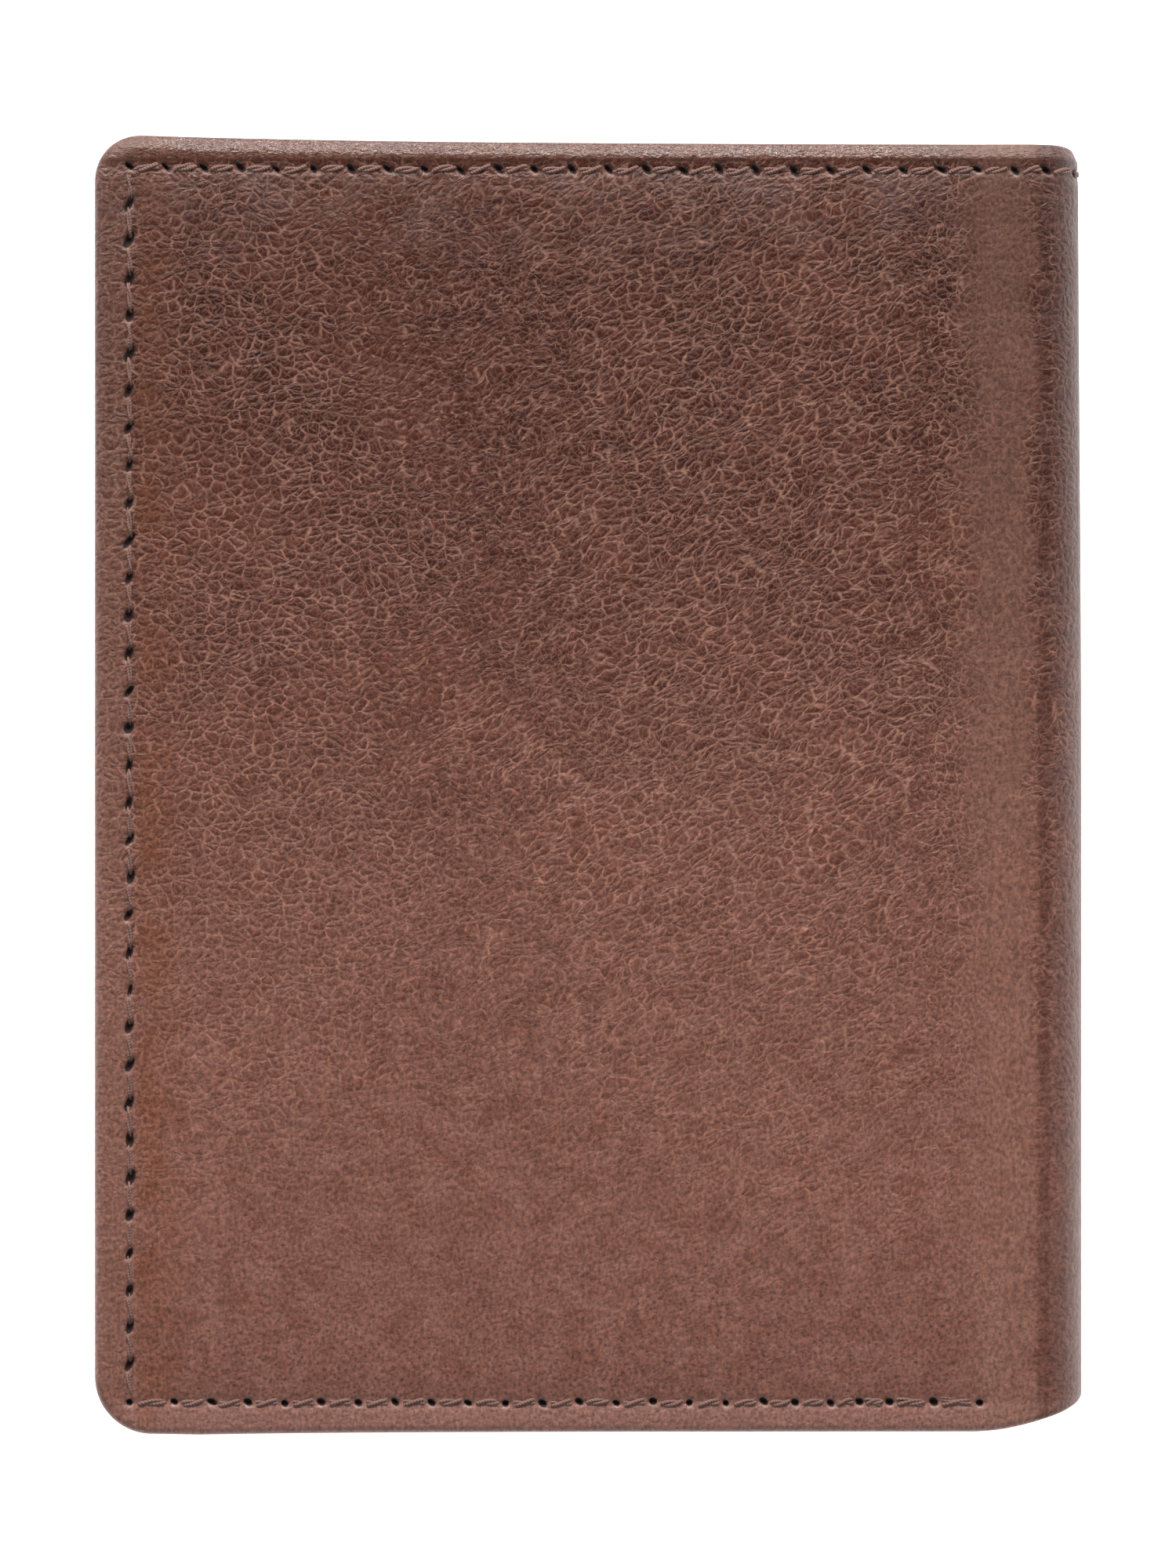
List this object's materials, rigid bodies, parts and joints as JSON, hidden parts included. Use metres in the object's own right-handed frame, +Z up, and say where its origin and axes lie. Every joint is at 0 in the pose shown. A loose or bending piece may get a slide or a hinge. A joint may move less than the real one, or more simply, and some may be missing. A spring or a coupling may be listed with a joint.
{
  "type": "trifold wallet",
  "caption": "Trifold leather wallet, closed: an outer and an inner flap fold over a middle panel with an ID window, with stepped card slots and a bill compartment.",
  "frame": {"origin": "on the surface it lies on, under the middle of the closed wallet", "axes": "+Z up through the thickness; +Y up the wallet's height, towards the open top of the bill compartment; +X across the width, from the free edge of the outer flap to the outer fold"},
  "size_m": [0.084, 0.1104, 0.019],
  "materials": {
    "outer_leather": "waxed pull-up brown leather with a creased pebble grain, satin",
    "pocket_leather": "thin smooth brown leather, satin",
    "divider_leather": "thin brown split leather, matte",
    "lining_fabric": "dark brown woven lining",
    "stiffener_board": "bonded fibre board",
    "thread": "twisted bonded thread, tone on tone",
    "clear_vinyl": "clear flexible vinyl"
  },
  "bodies": {
    "center_panel": {"center_cover": "outer_leather", "center_stiffener": "stiffener_board", "center_lining": "lining_fabric", "center_divider": "divider_leather", "center_slip_pocket": "pocket_leather", "id_window_frame": "pocket_leather", "id_window": "clear_vinyl", "center_hem_stitches": "thread", "center_bottom_stitches": "thread", "id_frame_stitches": "thread"},
    "outer_fold": {"outer_fold_leather": "outer_leather", "outer_fold_lining": "lining_fabric", "outer_fold_divider": "divider_leather", "outer_fold_stitches": "thread"},
    "outer_flap": {"outer_flap_cover": "outer_leather", "outer_flap_stiffener": "stiffener_board", "outer_flap_lining": "lining_fabric", "outer_flap_divider": "divider_leather", "outer_card_slot_1": "pocket_leather", "outer_card_slot_2": "pocket_leather", "outer_card_slot_3": "pocket_leather", "outer_flap_side_stitches": "thread", "outer_flap_hem_stitches": "thread", "outer_flap_bottom_stitches": "thread", "outer_slot_stitches": "thread"},
    "inner_fold": {"inner_fold_leather": "outer_leather", "inner_fold_lining": "lining_fabric", "inner_fold_divider": "divider_leather", "inner_fold_stitches": "thread"},
    "inner_flap": {"inner_flap_cover": "outer_leather", "inner_flap_stiffener": "stiffener_board", "inner_flap_lining": "lining_fabric", "inner_flap_divider": "divider_leather", "inner_card_slot_1": "pocket_leather", "inner_card_slot_2": "pocket_leather", "inner_flap_side_stitches": "thread", "inner_flap_hem_stitches": "thread", "inner_flap_bottom_stitches": "thread", "inner_slot_stitches": "thread"}
  },
  "joints": [
    {"name": "outer_fold_lower", "type": "hinge", "parent": "center_panel", "child": "outer_fold", "pos_m": [0.04062, 0, 0.00138], "axis": [0, 1, 0], "range_deg": [0, 90]},
    {"name": "outer_fold_upper", "type": "hinge", "parent": "outer_fold", "child": "outer_flap", "pos_m": [0.04062, 0, 0.01762], "axis": [0, 1, 0], "range_deg": [0, 90]},
    {"name": "inner_fold_lower", "type": "hinge", "parent": "center_panel", "child": "inner_fold", "pos_m": [-0.04086, 0, 0.00104], "axis": [0, -1, 0], "range_deg": [0, 90]},
    {"name": "inner_fold_upper", "type": "hinge", "parent": "inner_fold", "child": "inner_flap", "pos_m": [-0.04086, 0, 0.00546], "axis": [0, -1, 0], "range_deg": [0, 85.5]}
  ],
  "couplings": [
    {"joint": "outer_fold_upper", "follows": "outer_fold_lower", "ratio": 1},
    {"joint": "inner_fold_lower", "follows": "outer_fold_lower", "ratio": 1},
    {"joint": "inner_fold_upper", "follows": "outer_fold_lower", "ratio": 0.95}
  ]
}
